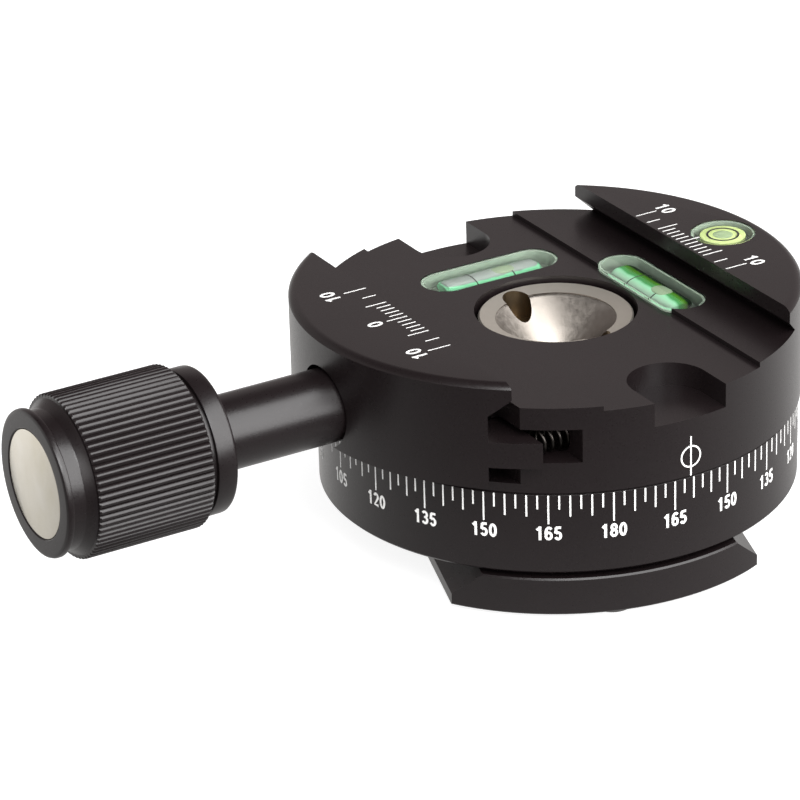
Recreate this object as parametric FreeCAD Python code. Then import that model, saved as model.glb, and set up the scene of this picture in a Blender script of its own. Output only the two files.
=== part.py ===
import FreeCAD, Part
import math
import os

os.makedirs("parts", exist_ok=True)
V = FreeCAD.Vector

# Panoramic quick-release head for a camera plate, in millimetres.
# Frame: +Z is the pan axis, with z = 0 on the underside of the lower dovetail plate.
# +X crosses the clamp channel toward the fixed jaw, and the clamp knob lies at -X.
# The lower half is turned about Z by PAN_TURN, as it stands in the photograph.
# The moving jaw stands open by JAW_OPEN, measured from its flush place on the round rim.

FIT = 0.04
GAP = 0.3
PAN_TURN = -17.9

# Lower dovetail plate.
PLATE_W = 38.0
PLATE_STEP = 0.2
LAND_H = 1.5
PLATE_BEVEL = 3.3
PLATE_CORNER = 0.2

# Graduated drum, with a round foot on the plate and a well for the clamp's spigot.
DRUM_STEP = 0.3
DRUM_H = 10.65
DRUM_EDGE = 0.3
FOOT_STEP = 2.9
FOOT_H = 0.65
WELL_FLOOR = 3.55
BOSS_R = 12.2
BOSS_H = 5.0

# Clamp body above the drum.
PAN_GAP = 0.15
BODY_R = 30.0
BODY_H = 14.75
FLANGE_H = 1.15
RIM_ROUND = 0.9
SPIGOT_R = 20.0
SPIGOT_H = 6.75
GLIDE_IN_R = 13.0

# Channel for the camera plate, with its recessed middle and the stop pockets.
FLOOR_DEPTH = 3.75
MIDDLE_W = 22.0
MIDDLE_STEP = 0.6
POCKET_W = 10.0
POCKET_IN = 5.0
POCKET_DEPTH = 3.0

# Jaw faces: nose, 45 degree undercut and the wall below it.
NOSE_X = 18.05
NOSE_H = 1.95
UNDERCUT = 2.2
JAW_WALL_X = 19.4

# Moving jaw and its two guide ears.
JAW_OPEN = 3.05
SEAT_FIT = 0.05
EAR_DROP = 1.8
EAR_T = 3.25
EAR_L = 5.15
EAR_Y = 17.0
EAR_SIDE_GAP = 0.5
EAR_TOP_GAP = 0.95
SLOT_DEPTH = 6.1

# Screw line of the jaw, with the guide pins and return springs beside it.
SCREW_DROP = 8.95
STUD_R = 3.0
STUD_IN = 8.4
STUD_REACH = 6.4
GUIDE_R = 1.5
GUIDE_Y = 10.5
GUIDE_IN = 8.0
GUIDE_OUT = 6.4
GUIDE_BORE = 6.35
SPRING_R = 1.45
SPRING_WIRE_R = 0.25
SPRING_TURNS = 4
SPRING_Y = 22.0
SPRING_LIFT = 1.75
SPRING_SEAT = 2.0
SPRING_ROOM = 0.4

# Clamp knob on its long sleeve.
SLEEVE_R = 4.6
JAW_BORE_GAP = 0.5
JAW_BORE_FLOOR = 8.05
WASHER_T = 0.8
KNOB_STAND = 16.2
SLEEVE_TANG = 15.4
SLEEVE_BORE_WALL = 4.0
GRIP_L = 22.1
GRIP_R = 9.95
FLUTE_DEPTH = 0.45
FLUTE_COUNT = 69
FLUTE_L = 15.0
FLUTE_EDGE = 0.2
COLLAR_R = 9.0
COLLAR_L = 3.5
COLLAR_NECK_R = 8.5
LIP_R = 8.95
LIP_L = 0.9
LIP_NECK_R = 8.5
LIP_CONE = 1.0
DISC_R = 6.6
DISC_T = 1.0
KNOB_WEB = 2.5
KNOB_SCREW_R = 1.5
KNOB_SCREW_HEAD_R = 2.75
KNOB_SCREW_HEAD_H = 2.4
KNOB_SCREW_BITE = 2.8
COLLAR_SHOULDER = 2.6
COLLAR_EDGE = 0.3

# Steel hub that holds the clamp down on the drum.
HUB_R = 9.55
HUB_DROP = 5.05
HUB_H = 4.45
HUB_RECESS_GAP = 0.5
HUB_DISH = 0.45
HUB_MOUTH_R = 7.45
HUB_STEP = 0.35
HUB_CONE = 0.73
HUB_BORE_R = 3.0
HUB_SHANK_R = 8.0
NOTCH_R = 1.8
NOTCH_RADIUS = 7.3
NOTCH_DEPTH = 3.5
NOTCH_TURN = 9.0
THRUST_T = 0.5

# Threaded insert and screws of the lower plate.
INSERT_BORE_R = 4.76
INSERT_R = 6.6
INSERT_HEAD_R = 8.2
INSERT_HEAD_H = 1.4
INSERT_L = 7.4
PLATE_SCREW_R = 1.5
PLATE_SCREW_HEAD_R = 2.8
PLATE_SCREW_RADIUS = 15.0
STOP_SCREW_IN = 3.8
STOP_SCREW_R = 1.5
STOP_HEAD_R = 2.9
STOP_HEAD_H = 0.8
STOP_SCREW_L = 3.6

# Spirit levels.
TUBE_L = 19.0
TUBE_W = 6.2
TUBE_H = 5.0
TUBE_SINK = 0.05
VIAL_R = 1.9
VIAL_L = 14.0
CROSS_X = -0.6
CROSS_Y = 14.6
ALONG_X = 13.5
ALONG_Y = -0.7
ROUND_IN = 5.5
ROUND_Y = -0.2
ROUND_R = 4.0
ROUND_H = 4.0
ROUND_VIAL_R = 2.9
ROUND_VIAL_H = 1.7
WINDOW_T = 0.6
BACKING_T = 0.3
BUBBLE_L = 5.2
BUBBLE_R = 1.1
LEVEL_CUT = 5.0

# Pan lock on the far side of the drum.
LOCK_TURN = 8.8
SHOE_R = 2.2
SHOE_L = 3.0
LOCK_SCREW_R = 2.0
LOCK_KNOB_R = 4.5
LOCK_KNOB_L = 8.0
LOCK_KNOB_GAP = 0.9
LOCK_FLUTES = 24
LOCK_SCREW_IN = 5.0

# Radii, heights and places that follow from the sizes above.
DRUM_R = BODY_R - DRUM_STEP
PLATE_END_R = BODY_R - PLATE_STEP
FOOT_R = DRUM_R - FOOT_STEP
POCKET_CENTRE = BODY_R - POCKET_IN
ROUND_X = BODY_R - ROUND_IN
STOP_SCREW_RADIUS = PLATE_END_R - STOP_SCREW_IN
PLATE_H = LAND_H + PLATE_BEVEL
DRUM_Z = PLATE_H + FOOT_H
DRUM_TOP = DRUM_Z + DRUM_H
WELL_Z = DRUM_Z + WELL_FLOOR
BOSS_TOP = WELL_Z + BOSS_H
BODY_Z = DRUM_TOP + PAN_GAP
SEAT_Z = BODY_Z + FLANGE_H
TOP_Z = BODY_Z + BODY_H
FLOOR_Z = TOP_Z - FLOOR_DEPTH
MIDDLE_Z = FLOOR_Z - MIDDLE_STEP
SPIGOT_Z = BODY_Z - SPIGOT_H
SCREW_Z = TOP_Z - SCREW_DROP
HUB_TOP = TOP_Z - HUB_DROP
HUB_SEAT = HUB_TOP - HUB_H - THRUST_T
HUB_END = INSERT_L + GAP
WALL_X = NOSE_X + UNDERCUT
SLOT_X = JAW_WALL_X - SLOT_DEPTH
EAR_Z = SCREW_Z - EAR_DROP
SPRING_Z = EAR_Z + SPRING_LIFT
JAW_X = WALL_X + JAW_OPEN
BORE_FLOOR_X = JAW_X + JAW_BORE_FLOOR - JAW_OPEN
SLEEVE_X = BORE_FLOOR_X + WASHER_T
GRIP_X = BODY_R + JAW_OPEN + KNOB_STAND
STUD_END = GRIP_X + STUD_REACH
GRIP_END = GRIP_X + GRIP_L
TANG_END = GRIP_X + SLEEVE_TANG
LOCK_Z = DRUM_Z + DRUM_H / 2
LOCK_ANGLE = PAN_TURN + 90.0 - LOCK_TURN


def upright(r, z0, z1, x=0.0, y=0.0):
    return Part.makeCylinder(r, z1 - z0, V(x, y, z0))


def lying(r, x0, x1, y, z):
    return Part.makeCylinder(r, x1 - x0, V(x0, y, z), V(1, 0, 0))


def block(x0, x1, y0, y1, z0, z1):
    return Part.makeBox(x1 - x0, y1 - y0, z1 - z0, V(x0, y0, z0))


def turned(points, axis="z"):
    # Solid of revolution from (radius, distance along the axis) pairs.
    if axis == "z":
        pts = [V(r, 0, a) for r, a in points]
        direction = V(0, 0, 1)
    else:
        pts = [V(a, r, 0) for r, a in points]
        direction = V(1, 0, 0)
    face = Part.Face(Part.makePolygon(pts + [pts[0]]))
    return face.revolve(V(0, 0, 0), direction, 360)


def prism_y(points, reach):
    # Straight prism along Y from (x, z) pairs.
    pts = [V(x, -reach, z) for x, z in points]
    face = Part.Face(Part.makePolygon(pts + [pts[0]]))
    return face.extrude(V(0, 2 * reach, 0))


def capsule(length, width, z0, z1, along_y=False):
    half = (length - width) / 2
    r = width / 2
    body = block(-half, half, -r, r, z0, z1)
    body = body.fuse([upright(r, z0, z1, -half), upright(r, z0, z1, half)]).removeSplitter()
    if along_y:
        body.rotate(V(0, 0, 0), V(0, 0, 1), 90)
    return body


def moved(shape, x=0.0, y=0.0, z=0.0):
    out = shape.copy()
    out.translate(V(x, y, z))
    return out


def spun(shape, angle):
    out = shape.copy()
    out.rotate(V(0, 0, 0), V(0, 0, 1), angle)
    return out


def on_base(shape):
    return spun(shape, PAN_TURN)


def save(name, shape):
    if shape.ShapeType != "Compound" and len(shape.Solids) == 1:
        shape = shape.Solids[0]
    shape.exportStep("parts/" + name + ".step")
    print(name, "solids", len(shape.Solids), "valid", shape.isValid(), "volume", round(shape.Volume, 2))


def fluted(r, depth, count, x0, x1, edge):
    # Straight knurl along X: flat crests and V grooves, with both ends chamfered.
    step = 2 * math.pi / count
    pts = []
    for k in range(count):
        a = k * step
        for share, radius in ((-0.24, r), (0.24, r), (0.44, r - depth), (0.56, r - depth)):
            b = a + share * step
            pts.append(V(x0, radius * math.cos(b), radius * math.sin(b)))
    bar = Part.Face(Part.makePolygon(pts + [pts[0]])).extrude(V(x1 - x0, 0, 0))
    ends = turned([(0, x0), (r - edge, x0), (r + edge, x0 + 2 * edge), (r + edge, x1 - 2 * edge),
                   (r - edge, x1), (0, x1)], "x")
    return bar.common(ends)


def plate_screw_places():
    return [spun(Part.Vertex(PLATE_SCREW_RADIUS, 0, 0), 45 + 90 * k).Point for k in range(4)]


def dovetail_plate():
    half = PLATE_W / 2
    top = half - PLATE_BEVEL
    bar = prism_y([(-half, 0), (half, 0), (half, LAND_H), (top, PLATE_H), (-top, PLATE_H), (-half, LAND_H)],
                  PLATE_END_R + 1)
    c = PLATE_CORNER
    rim = turned([(0, 0), (PLATE_END_R - c, 0), (PLATE_END_R, c), (PLATE_END_R, PLATE_H - c),
                  (PLATE_END_R - c, PLATE_H), (0, PLATE_H)])
    plate = bar.common(rim)
    cuts = [upright(INSERT_R + FIT, 0, PLATE_H), upright(INSERT_HEAD_R + FIT, 0, INSERT_HEAD_H + FIT)]
    for p in plate_screw_places():
        cuts.append(upright(PLATE_SCREW_R + FIT, 0, PLATE_H, p.x, p.y))
        cuts.append(moved(screw_head(FIT), p.x, p.y))
    for side in (-1, 1):
        y = side * STOP_SCREW_RADIUS
        cuts.append(upright(STOP_SCREW_R + FIT, 0, STOP_SCREW_L + GAP, 0, y))
    return on_base(plate.cut(cuts))


def screw_head(room=0.0):
    # Countersunk head, flush with the plate's underside.
    r = PLATE_SCREW_R + room
    big = PLATE_SCREW_HEAD_R + room
    return turned([(0, 0), (big, 0), (big, 0.2 + room), (r, 0.2 + room + big - r), (0, 0.2 + room + big - r)])


def plate_screws():
    end = DRUM_Z + WELL_FLOOR - 1.0
    out = []
    for p in plate_screw_places():
        screw = screw_head().fuse(upright(PLATE_SCREW_R, 1.0, end)).removeSplitter()
        screw = screw.cut(upright(1.0, 0, 1.2))
        out.append(on_base(moved(screw, p.x, p.y)))
    return Part.makeCompound([s.Solids[0] for s in out])


def stop_screws():
    head = turned([(0, -STOP_HEAD_H), (STOP_HEAD_R - 0.4, -STOP_HEAD_H), (STOP_HEAD_R, -STOP_HEAD_H + 0.4),
                   (STOP_HEAD_R, 0), (0, 0)])
    screw = head.fuse(upright(STOP_SCREW_R, -0.3, STOP_SCREW_L)).removeSplitter()
    screw = screw.cut(upright(0.9, -STOP_HEAD_H, 0.4))
    out = [on_base(moved(screw, 0, side * STOP_SCREW_RADIUS)) for side in (-1, 1)]
    return Part.makeCompound([s.Solids[0] for s in out])


def thread_insert():
    top = INSERT_L
    return turned([(INSERT_BORE_R, 0), (INSERT_HEAD_R, 0),
                   (INSERT_HEAD_R, INSERT_HEAD_H), (INSERT_R, INSERT_HEAD_H), (INSERT_R, top),
                   (INSERT_BORE_R, top)])


def scale_drum():
    e = DRUM_EDGE
    outer = turned([(0, PLATE_H), (FOOT_R, PLATE_H), (FOOT_R, DRUM_Z), (DRUM_R - e, DRUM_Z),
                    (DRUM_R, DRUM_Z + e), (DRUM_R, DRUM_TOP - e), (DRUM_R - e, DRUM_TOP), (0, DRUM_TOP)])
    well = upright(SPIGOT_R + GAP, WELL_Z, DRUM_TOP).cut(upright(BOSS_R, WELL_Z, BOSS_TOP))
    cuts = [well, upright(HUB_SHANK_R + FIT, HUB_END - GAP, BOSS_TOP),
            upright(INSERT_R + FIT, PLATE_H, INSERT_L + GAP)]
    for p in plate_screw_places():
        cuts.append(upright(PLATE_SCREW_R + FIT, PLATE_H, DRUM_Z + WELL_FLOOR - 0.6, p.x, p.y))
    drum = on_base(outer.cut(cuts))
    tip = SPIGOT_R + GAP
    shoe_room = lying(SHOE_R + FIT, tip - 1.0, tip + SHOE_L + FIT, 0, LOCK_Z)
    thread = lying(LOCK_SCREW_R + FIT, tip, DRUM_R + 1, 0, LOCK_Z)
    flat = lying(LOCK_KNOB_R + GAP, DRUM_R - 0.4, DRUM_R + 2, 0, LOCK_Z)
    return drum.cut([spun(s, LOCK_ANGLE) for s in (shoe_room, thread, flat)])


def hub_spindle():
    mouth = HUB_TOP - HUB_DISH
    cone_r = HUB_MOUTH_R - HUB_STEP
    cone_top = mouth - HUB_STEP
    cone_end = cone_top - (cone_r - HUB_BORE_R) / HUB_CONE
    hub = turned([(HUB_BORE_R, HUB_END), (HUB_SHANK_R - 0.5, HUB_END), (HUB_SHANK_R, HUB_END + 0.5),
                  (HUB_SHANK_R, HUB_TOP - HUB_H), (HUB_R, HUB_TOP - HUB_H), (HUB_R, HUB_TOP - 0.2),
                  (HUB_R - 0.2, HUB_TOP), (HUB_MOUTH_R, mouth), (HUB_MOUTH_R, mouth - 0.15),
                  (cone_r, cone_top), (HUB_BORE_R, cone_end)])
    notches = []
    for side in (-1, 1):
        notches.append(upright(NOTCH_R, HUB_TOP - NOTCH_DEPTH, HUB_TOP + 1, 0, side * NOTCH_RADIUS))
    return spun(hub.cut(notches), NOTCH_TURN)


def glide_ring():
    return turned([(GLIDE_IN_R, WELL_Z), (SPIGOT_R - 0.5, WELL_Z), (SPIGOT_R - 0.5, SPIGOT_Z),
                   (GLIDE_IN_R, SPIGOT_Z)])


def thrust_washer():
    return turned([(HUB_SHANK_R + GAP, HUB_SEAT), (HUB_R - 0.1, HUB_SEAT), (HUB_R - 0.1, HUB_SEAT + THRUST_T),
                   (HUB_SHANK_R + GAP, HUB_SEAT + THRUST_T)])


def tube_room(grow=0.0):
    return capsule(TUBE_L + 2 * grow, TUBE_W + 2 * grow, -TUBE_H - BACKING_T, 0)


def rim_disc(z0, z1):
    # Round slab of the clamp with its rounded upper edge.
    disc = upright(BODY_R, z0, z1)
    top = [e for e in disc.Edges if abs(e.CenterOfMass.z - z1) < 1e-4 and len(e.Vertexes) == 1]
    return disc.makeFillet(RIM_ROUND, top)


def clamp_body():
    low = upright(BODY_R, BODY_Z, SEAT_Z).fuse(upright(SPIGOT_R, SPIGOT_Z, BODY_Z))
    reach = BODY_R + 2
    nose_z = TOP_Z - NOSE_H
    profile = [(-JAW_WALL_X, SEAT_Z - 0.2), (reach, SEAT_Z - 0.2), (reach, TOP_Z), (NOSE_X, TOP_Z),
               (NOSE_X, nose_z), (NOSE_X + nose_z - FLOOR_Z, FLOOR_Z), (-JAW_WALL_X, FLOOR_Z)]
    high = rim_disc(SEAT_Z - 0.2, TOP_Z).common(prism_y(profile, reach))
    body = low.fuse(high).removeSplitter()
    half = MIDDLE_W / 2
    cuts = [block(-half, half, -reach, reach, MIDDLE_Z, TOP_Z)]
    cuts.append(upright(HUB_R + HUB_RECESS_GAP, HUB_SEAT, TOP_Z))
    cuts.append(upright(HUB_SHANK_R + FIT, SPIGOT_Z, TOP_Z))
    cuts.append(upright(BOSS_R + GAP, SPIGOT_Z, BOSS_TOP + GAP))
    for side in (-1, 1):
        cuts += stop_pocket(side) + ear_slot(side)
        cuts.append(lying(GUIDE_R + FIT, -JAW_WALL_X, -JAW_WALL_X + GUIDE_IN + FIT, side * GUIDE_Y, SCREW_Z))
    cuts.append(lying(STUD_R + FIT, -JAW_WALL_X, -JAW_WALL_X + STUD_IN + FIT, 0, SCREW_Z))
    cuts.append(moved(tube_room(FIT), CROSS_X, CROSS_Y, MIDDLE_Z - TUBE_SINK))
    cuts.append(moved(capsule(TUBE_L, TUBE_W, -1, LEVEL_CUT), CROSS_X, CROSS_Y, MIDDLE_Z - TUBE_SINK))
    along = spun(tube_room(FIT), 90)
    cuts.append(moved(along, ALONG_X, ALONG_Y, FLOOR_Z - TUBE_SINK))
    cuts.append(moved(capsule(TUBE_L, TUBE_W, -1, LEVEL_CUT, True), ALONG_X, ALONG_Y, FLOOR_Z - TUBE_SINK))
    cuts.append(upright(ROUND_R + FIT, TOP_Z - TUBE_SINK - ROUND_H - BACKING_T, TOP_Z + 1, ROUND_X, ROUND_Y))
    return body.cut(cuts)


def stop_pocket(side):
    # U-shaped relief for the stop screw of a camera plate, open at the rim.
    y = side * POCKET_CENTRE
    z0 = MIDDLE_Z - POCKET_DEPTH
    r = POCKET_W / 2
    rim = side * (BODY_R + 2)
    return [upright(r, z0, TOP_Z, 0, y), block(-r, r, min(y, rim), max(y, rim), z0, TOP_Z)]


def ear_slot(side):
    # Side slot for one guide ear of the jaw, and the blind seat of its spring.
    y0 = side * (EAR_Y - EAR_SIDE_GAP)
    y1 = side * (BODY_R + 2)
    z0 = EAR_Z - SEAT_FIT
    slot = block(-BODY_R, -SLOT_X, min(y0, y1), max(y0, y1), z0, EAR_Z + EAR_T + EAR_TOP_GAP)
    seat_r = SPRING_R + SPRING_WIRE_R + SPRING_ROOM
    seat = lying(seat_r, -SLOT_X, -SLOT_X + SPRING_SEAT, side * SPRING_Y, SPRING_Z)
    return [slot, seat]


def moving_jaw():
    reach = BODY_R + 2
    nose_z = TOP_Z - NOSE_H
    z0 = SEAT_Z + SEAT_FIT
    profile = [(-reach, z0), (-WALL_X, z0), (-WALL_X, nose_z - UNDERCUT), (-NOSE_X, nose_z),
               (-NOSE_X, TOP_Z), (-reach, TOP_Z)]
    jaw = rim_disc(z0, TOP_Z).common(prism_y(profile, reach))
    ears = []
    for side in (-1, 1):
        y0 = side * EAR_Y
        y1 = side * reach
        box = block(-WALL_X - 1, -WALL_X + EAR_L, min(y0, y1), max(y0, y1), EAR_Z, EAR_Z + EAR_T)
        ears.append(box.common(upright(BODY_R, z0, TOP_Z)))
    jaw = jaw.fuse(ears).removeSplitter()
    floor = WALL_X + JAW_BORE_FLOOR - JAW_OPEN
    cuts = [lying(SLEEVE_R + JAW_BORE_GAP, -reach, -floor, 0, SCREW_Z),
            lying(STUD_R + 0.2, -reach, 0, 0, SCREW_Z)]
    for side in (-1, 1):
        cuts.append(lying(GUIDE_R + SEAT_FIT, -WALL_X - GUIDE_BORE, 0, side * GUIDE_Y, SCREW_Z))
    return moved(jaw.cut(cuts), -JAW_OPEN)


def clamp_stud():
    x0 = -STUD_END
    x1 = -JAW_WALL_X + STUD_IN
    stud = turned([(0, x0), (STUD_R - 0.6, x0), (STUD_R, x0 + 0.6), (STUD_R, x1 - 0.6), (STUD_R - 0.6, x1),
                   (0, x1)], "x")
    return moved(stud, 0, 0, SCREW_Z)


def guide_pins():
    x0 = -JAW_WALL_X - GUIDE_OUT
    x1 = -JAW_WALL_X + GUIDE_IN
    pin = turned([(0, x0), (GUIDE_R - 0.3, x0), (GUIDE_R, x0 + 0.3), (GUIDE_R, x1 - 0.3), (GUIDE_R - 0.3, x1),
                  (0, x1)], "x")
    return Part.makeCompound([moved(pin, 0, side * GUIDE_Y, SCREW_Z).Solids[0] for side in (-1, 1)])


def spring_point(angle, pitch, start):
    return V(start + pitch * angle / (2 * math.pi), SPRING_R * math.cos(angle), SPRING_R * math.sin(angle))


def spring_tangent(angle, pitch):
    t = V(pitch / (2 * math.pi), -SPRING_R * math.sin(angle), SPRING_R * math.cos(angle))
    return t.normalize()


def biarc(p0, t0, p1, t1):
    # Two arcs that leave p0 along t0 and reach p1 along t1, meeting smoothly.
    v = p1 - p0
    t = t0 + t1
    a = 2 * (1 - t0.dot(t1))
    b = 2 * v.dot(t)
    c = -v.dot(v)
    d = (-b + math.sqrt(b * b - 4 * a * c)) / (2 * a)
    q0 = p0 + t0 * d
    q1 = p1 - t1 * d
    mid = (q0 + q1) * 0.5
    return [arc_from(p0, t0, mid), arc_from(mid, (q1 - q0).normalize(), p1)]


def arc_from(p0, t0, p1):
    chord = p1 - p0
    normal = t0.cross(chord).cross(t0)
    normal.normalize()
    radius = chord.dot(chord) / (2 * chord.dot(normal))
    centre = p0 + normal * radius
    middle = (p0 + p1) * 0.5 - centre
    middle.normalize()
    return Part.Arc(p0, centre + middle * radius, p1).toShape()


def return_spring(x0, x1):
    # One unbroken wire: straight end, quarter bend, coils in half turns, quarter bend, straight end.
    bend = 3 * SPRING_WIRE_R
    lead = 2 * SPRING_WIRE_R
    start = x0 + lead + bend
    length = x1 - x0 - 2 * (lead + bend)
    pitch = length / SPRING_TURNS
    steps = 2 * SPRING_TURNS
    first = spring_point(0, pitch, start)
    go = spring_tangent(0, pitch)
    last = spring_point(steps * math.pi, pitch, start)
    leave = spring_tangent(steps * math.pi, pitch)
    axis = V(1, 0, 0)
    foot = first - go * bend
    foot.x = x0 + lead
    head = last + leave * bend
    head.x = x1 - lead
    edges = [Part.makeLine(foot - axis * lead, foot)]
    edges += biarc(foot, axis, first, go)
    for k in range(steps):
        a = k * math.pi
        b = a + math.pi
        edges += biarc(spring_point(a, pitch, start), spring_tangent(a, pitch),
                       spring_point(b, pitch, start), spring_tangent(b, pitch))
    edges += biarc(last, leave, head, axis)
    edges.append(Part.makeLine(head, head + axis * lead))
    wire = Part.Wire(edges)
    begin = foot - axis * lead
    ring = Part.Wire(Part.makeCircle(SPRING_WIRE_R, begin, axis))
    shell = Part.BRepOffsetAPI.MakePipeShell(wire)
    shell.add(ring)
    shell.build()
    shell.makeSolid()
    print("spring pitch", round(pitch, 3), "clear between turns", round(least_gap(wire, pitch), 3))
    return shell.shape()


def least_gap(wire, pitch):
    # Least distance between the surfaces of turns that lie more than half a turn apart.
    pts = wire.discretize(Distance=0.1)
    skip = int(math.pi * SPRING_R / 0.1)
    best = 1e9
    for i in range(0, len(pts), 2):
        for j in range(i + skip, min(len(pts), i + 4 * skip), 2):
            best = min(best, pts[i].distanceToPoint(pts[j]))
    return best - 2 * SPRING_WIRE_R


def return_springs():
    x0 = -WALL_X + EAR_L - JAW_OPEN
    x1 = -SLOT_X + SPRING_SEAT
    spring = return_spring(x0, x1)
    return Part.makeCompound([moved(spring, 0, side * SPRING_Y, SPRING_Z).Solids[0] for side in (-1, 1)])


def jaw_washer():
    washer = turned([(STUD_R + 0.3, -SLEEVE_X), (SLEEVE_R, -SLEEVE_X), (SLEEVE_R, -BORE_FLOOR_X),
                     (STUD_R + 0.3, -BORE_FLOOR_X)], "x")
    return moved(washer, 0, 0, SCREW_Z)


def knob_sleeve():
    bore_end = TANG_END - SLEEVE_BORE_WALL
    outer = turned([(0, -TANG_END), (SLEEVE_R - 0.3, -TANG_END), (SLEEVE_R, -TANG_END + 0.3),
                    (SLEEVE_R, -SLEEVE_X - 0.2), (SLEEVE_R - 0.2, -SLEEVE_X), (0, -SLEEVE_X)], "x")
    bore = lying(STUD_R + FIT, -bore_end, -SLEEVE_X, 0, 0)
    tap = lying(KNOB_SCREW_R + FIT, -TANG_END, -bore_end - 0.5, 0, 0)
    return moved(outer.cut([bore, tap]), 0, 0, SCREW_Z)


def knob_grip():
    rear = -GRIP_X
    front = -GRIP_END
    flute1 = rear - COLLAR_L
    flute0 = flute1 - FLUTE_L
    lip = front + LIP_L
    shoulder = rear - COLLAR_SHOULDER
    e = COLLAR_EDGE
    collar = turned([(0, rear), (COLLAR_R - e, rear), (COLLAR_R, rear - e), (COLLAR_R, shoulder + e / 2),
                     (COLLAR_R - e / 2, shoulder), (COLLAR_NECK_R, shoulder), (COLLAR_NECK_R, flute1 - 0.5),
                     (0, flute1 - 0.5)], "x")
    flutes = fluted(GRIP_R, FLUTE_DEPTH, FLUTE_COUNT, flute0, flute1, FLUTE_EDGE)
    cone_r = GRIP_R - FLUTE_DEPTH - 0.1
    nose = turned([(0, flute0 + 0.5), (cone_r, flute0 + 0.5), (cone_r, flute0),
                   (LIP_NECK_R, flute0 - LIP_CONE), (LIP_NECK_R, lip), (LIP_R - 0.1, lip), (LIP_R, lip - 0.1),
                   (LIP_R, front + 0.4), (LIP_R - 0.4, front), (0, front)], "x")
    grip = flutes.fuse([collar, nose])
    cuts = [lying(SLEEVE_R + FIT, -TANG_END, rear + 1, 0, 0),
            lying(KNOB_SCREW_R + 0.2, front, -TANG_END + 0.1, 0, 0),
            lying(DISC_R + FIT, front - 1, front + DISC_T, 0, 0),
            lying(DISC_R - 1.2, front, -TANG_END - KNOB_WEB, 0, 0)]
    return moved(grip.cut(cuts), 0, 0, SCREW_Z)


def knob_end_disc():
    front = -GRIP_END
    disc = turned([(0, front + 0.05), (DISC_R - 0.15, front + 0.05), (DISC_R, front + 0.2),
                   (DISC_R, front + DISC_T), (0, front + DISC_T)], "x")
    return moved(disc, 0, 0, SCREW_Z)


def knob_fixing_screw():
    seat = -TANG_END - KNOB_WEB
    tip = -TANG_END + KNOB_SCREW_BITE
    head = seat - KNOB_SCREW_HEAD_H
    edge = KNOB_SCREW_HEAD_R / 10
    screw = turned([(0, head), (KNOB_SCREW_HEAD_R - edge, head), (KNOB_SCREW_HEAD_R, head + edge),
                    (KNOB_SCREW_HEAD_R, seat), (KNOB_SCREW_R, seat), (KNOB_SCREW_R, tip), (0, tip)], "x")
    socket = lying(KNOB_SCREW_HEAD_R * 0.45, head, head + KNOB_SCREW_HEAD_H * 0.6, 0, 0)
    return moved(screw.cut(socket), 0, 0, SCREW_Z)


def tube_level():
    # Clear block with the closed bore that holds the liquid.
    block_shape = capsule(TUBE_L, TUBE_W, -TUBE_H, 0)
    return block_shape.cut(vial(0.0))


def vial(less):
    r = VIAL_R - less
    half = VIAL_L / 2 - less
    z = -WINDOW_T - VIAL_R
    return moved(turned([(0, -half), (r, -half), (r, half), (0, half)], "x"), 0, 0, z)


def tube_liquid():
    # Green filling with the air bubble left open at the top of the bore.
    z = -WINDOW_T - VIAL_R
    end = BUBBLE_L / 2
    slim = BUBBLE_R * 0.8
    bubble = turned([(0, -end), (slim, -end * 0.75), (BUBBLE_R, 0), (slim, end * 0.75), (0, end)], "x")
    bubble = moved(bubble, 0, 0, z + VIAL_R - BUBBLE_R * 0.7)
    return vial(FIT).cut(bubble)


def round_level():
    top = TOP_Z - TUBE_SINK
    cup = upright(ROUND_R, top - ROUND_H, top)
    z1 = top - WINDOW_T
    room = upright(ROUND_VIAL_R, z1 - ROUND_VIAL_H, z1)
    return moved(cup.cut(room), ROUND_X, ROUND_Y)


def round_liquid():
    z1 = TOP_Z - TUBE_SINK - WINDOW_T - FIT
    liquid = upright(ROUND_VIAL_R - FIT, z1 - ROUND_VIAL_H + 2 * FIT, z1)
    bubble = Part.makeSphere(1.6, V(0, 0, z1 + 0.9))
    return moved(liquid.cut(bubble), ROUND_X, ROUND_Y)


def level_backings():
    long_strip = capsule(TUBE_L - 0.6, TUBE_W - 0.6, -TUBE_H - BACKING_T, -TUBE_H)
    cross = moved(long_strip, CROSS_X, CROSS_Y, MIDDLE_Z - TUBE_SINK)
    along = moved(spun(long_strip, 90), ALONG_X, ALONG_Y, FLOOR_Z - TUBE_SINK)
    z1 = TOP_Z - TUBE_SINK - ROUND_H
    coin = upright(ROUND_R - 0.3, z1 - BACKING_T, z1, ROUND_X, ROUND_Y)
    return Part.makeCompound([cross.Solids[0], along.Solids[0], coin])


def place_lock(shape):
    return spun(moved(shape, 0, 0, LOCK_Z), LOCK_ANGLE)


def lock_shoe():
    tip = SPIGOT_R + GAP
    return place_lock(turned([(0, tip), (SHOE_R - 0.3, tip), (SHOE_R, tip + 0.3), (SHOE_R, tip + SHOE_L),
                              (0, tip + SHOE_L)], "x"))


def lock_screw():
    x0 = SPIGOT_R + GAP + SHOE_L
    x1 = DRUM_R + LOCK_KNOB_GAP + LOCK_SCREW_IN
    return place_lock(turned([(0, x0), (LOCK_SCREW_R - 0.4, x0), (LOCK_SCREW_R, x0 + 0.4), (LOCK_SCREW_R, x1),
                              (0, x1)], "x"))


def lock_knob():
    x0 = DRUM_R + LOCK_KNOB_GAP
    x1 = x0 + LOCK_KNOB_L
    grip = fluted(LOCK_KNOB_R, 0.35, LOCK_FLUTES, x0, x1, 0.35)
    return place_lock(grip.cut(lying(LOCK_SCREW_R + FIT, x0, x0 + LOCK_SCREW_IN + FIT, 0, 0)))


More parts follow.
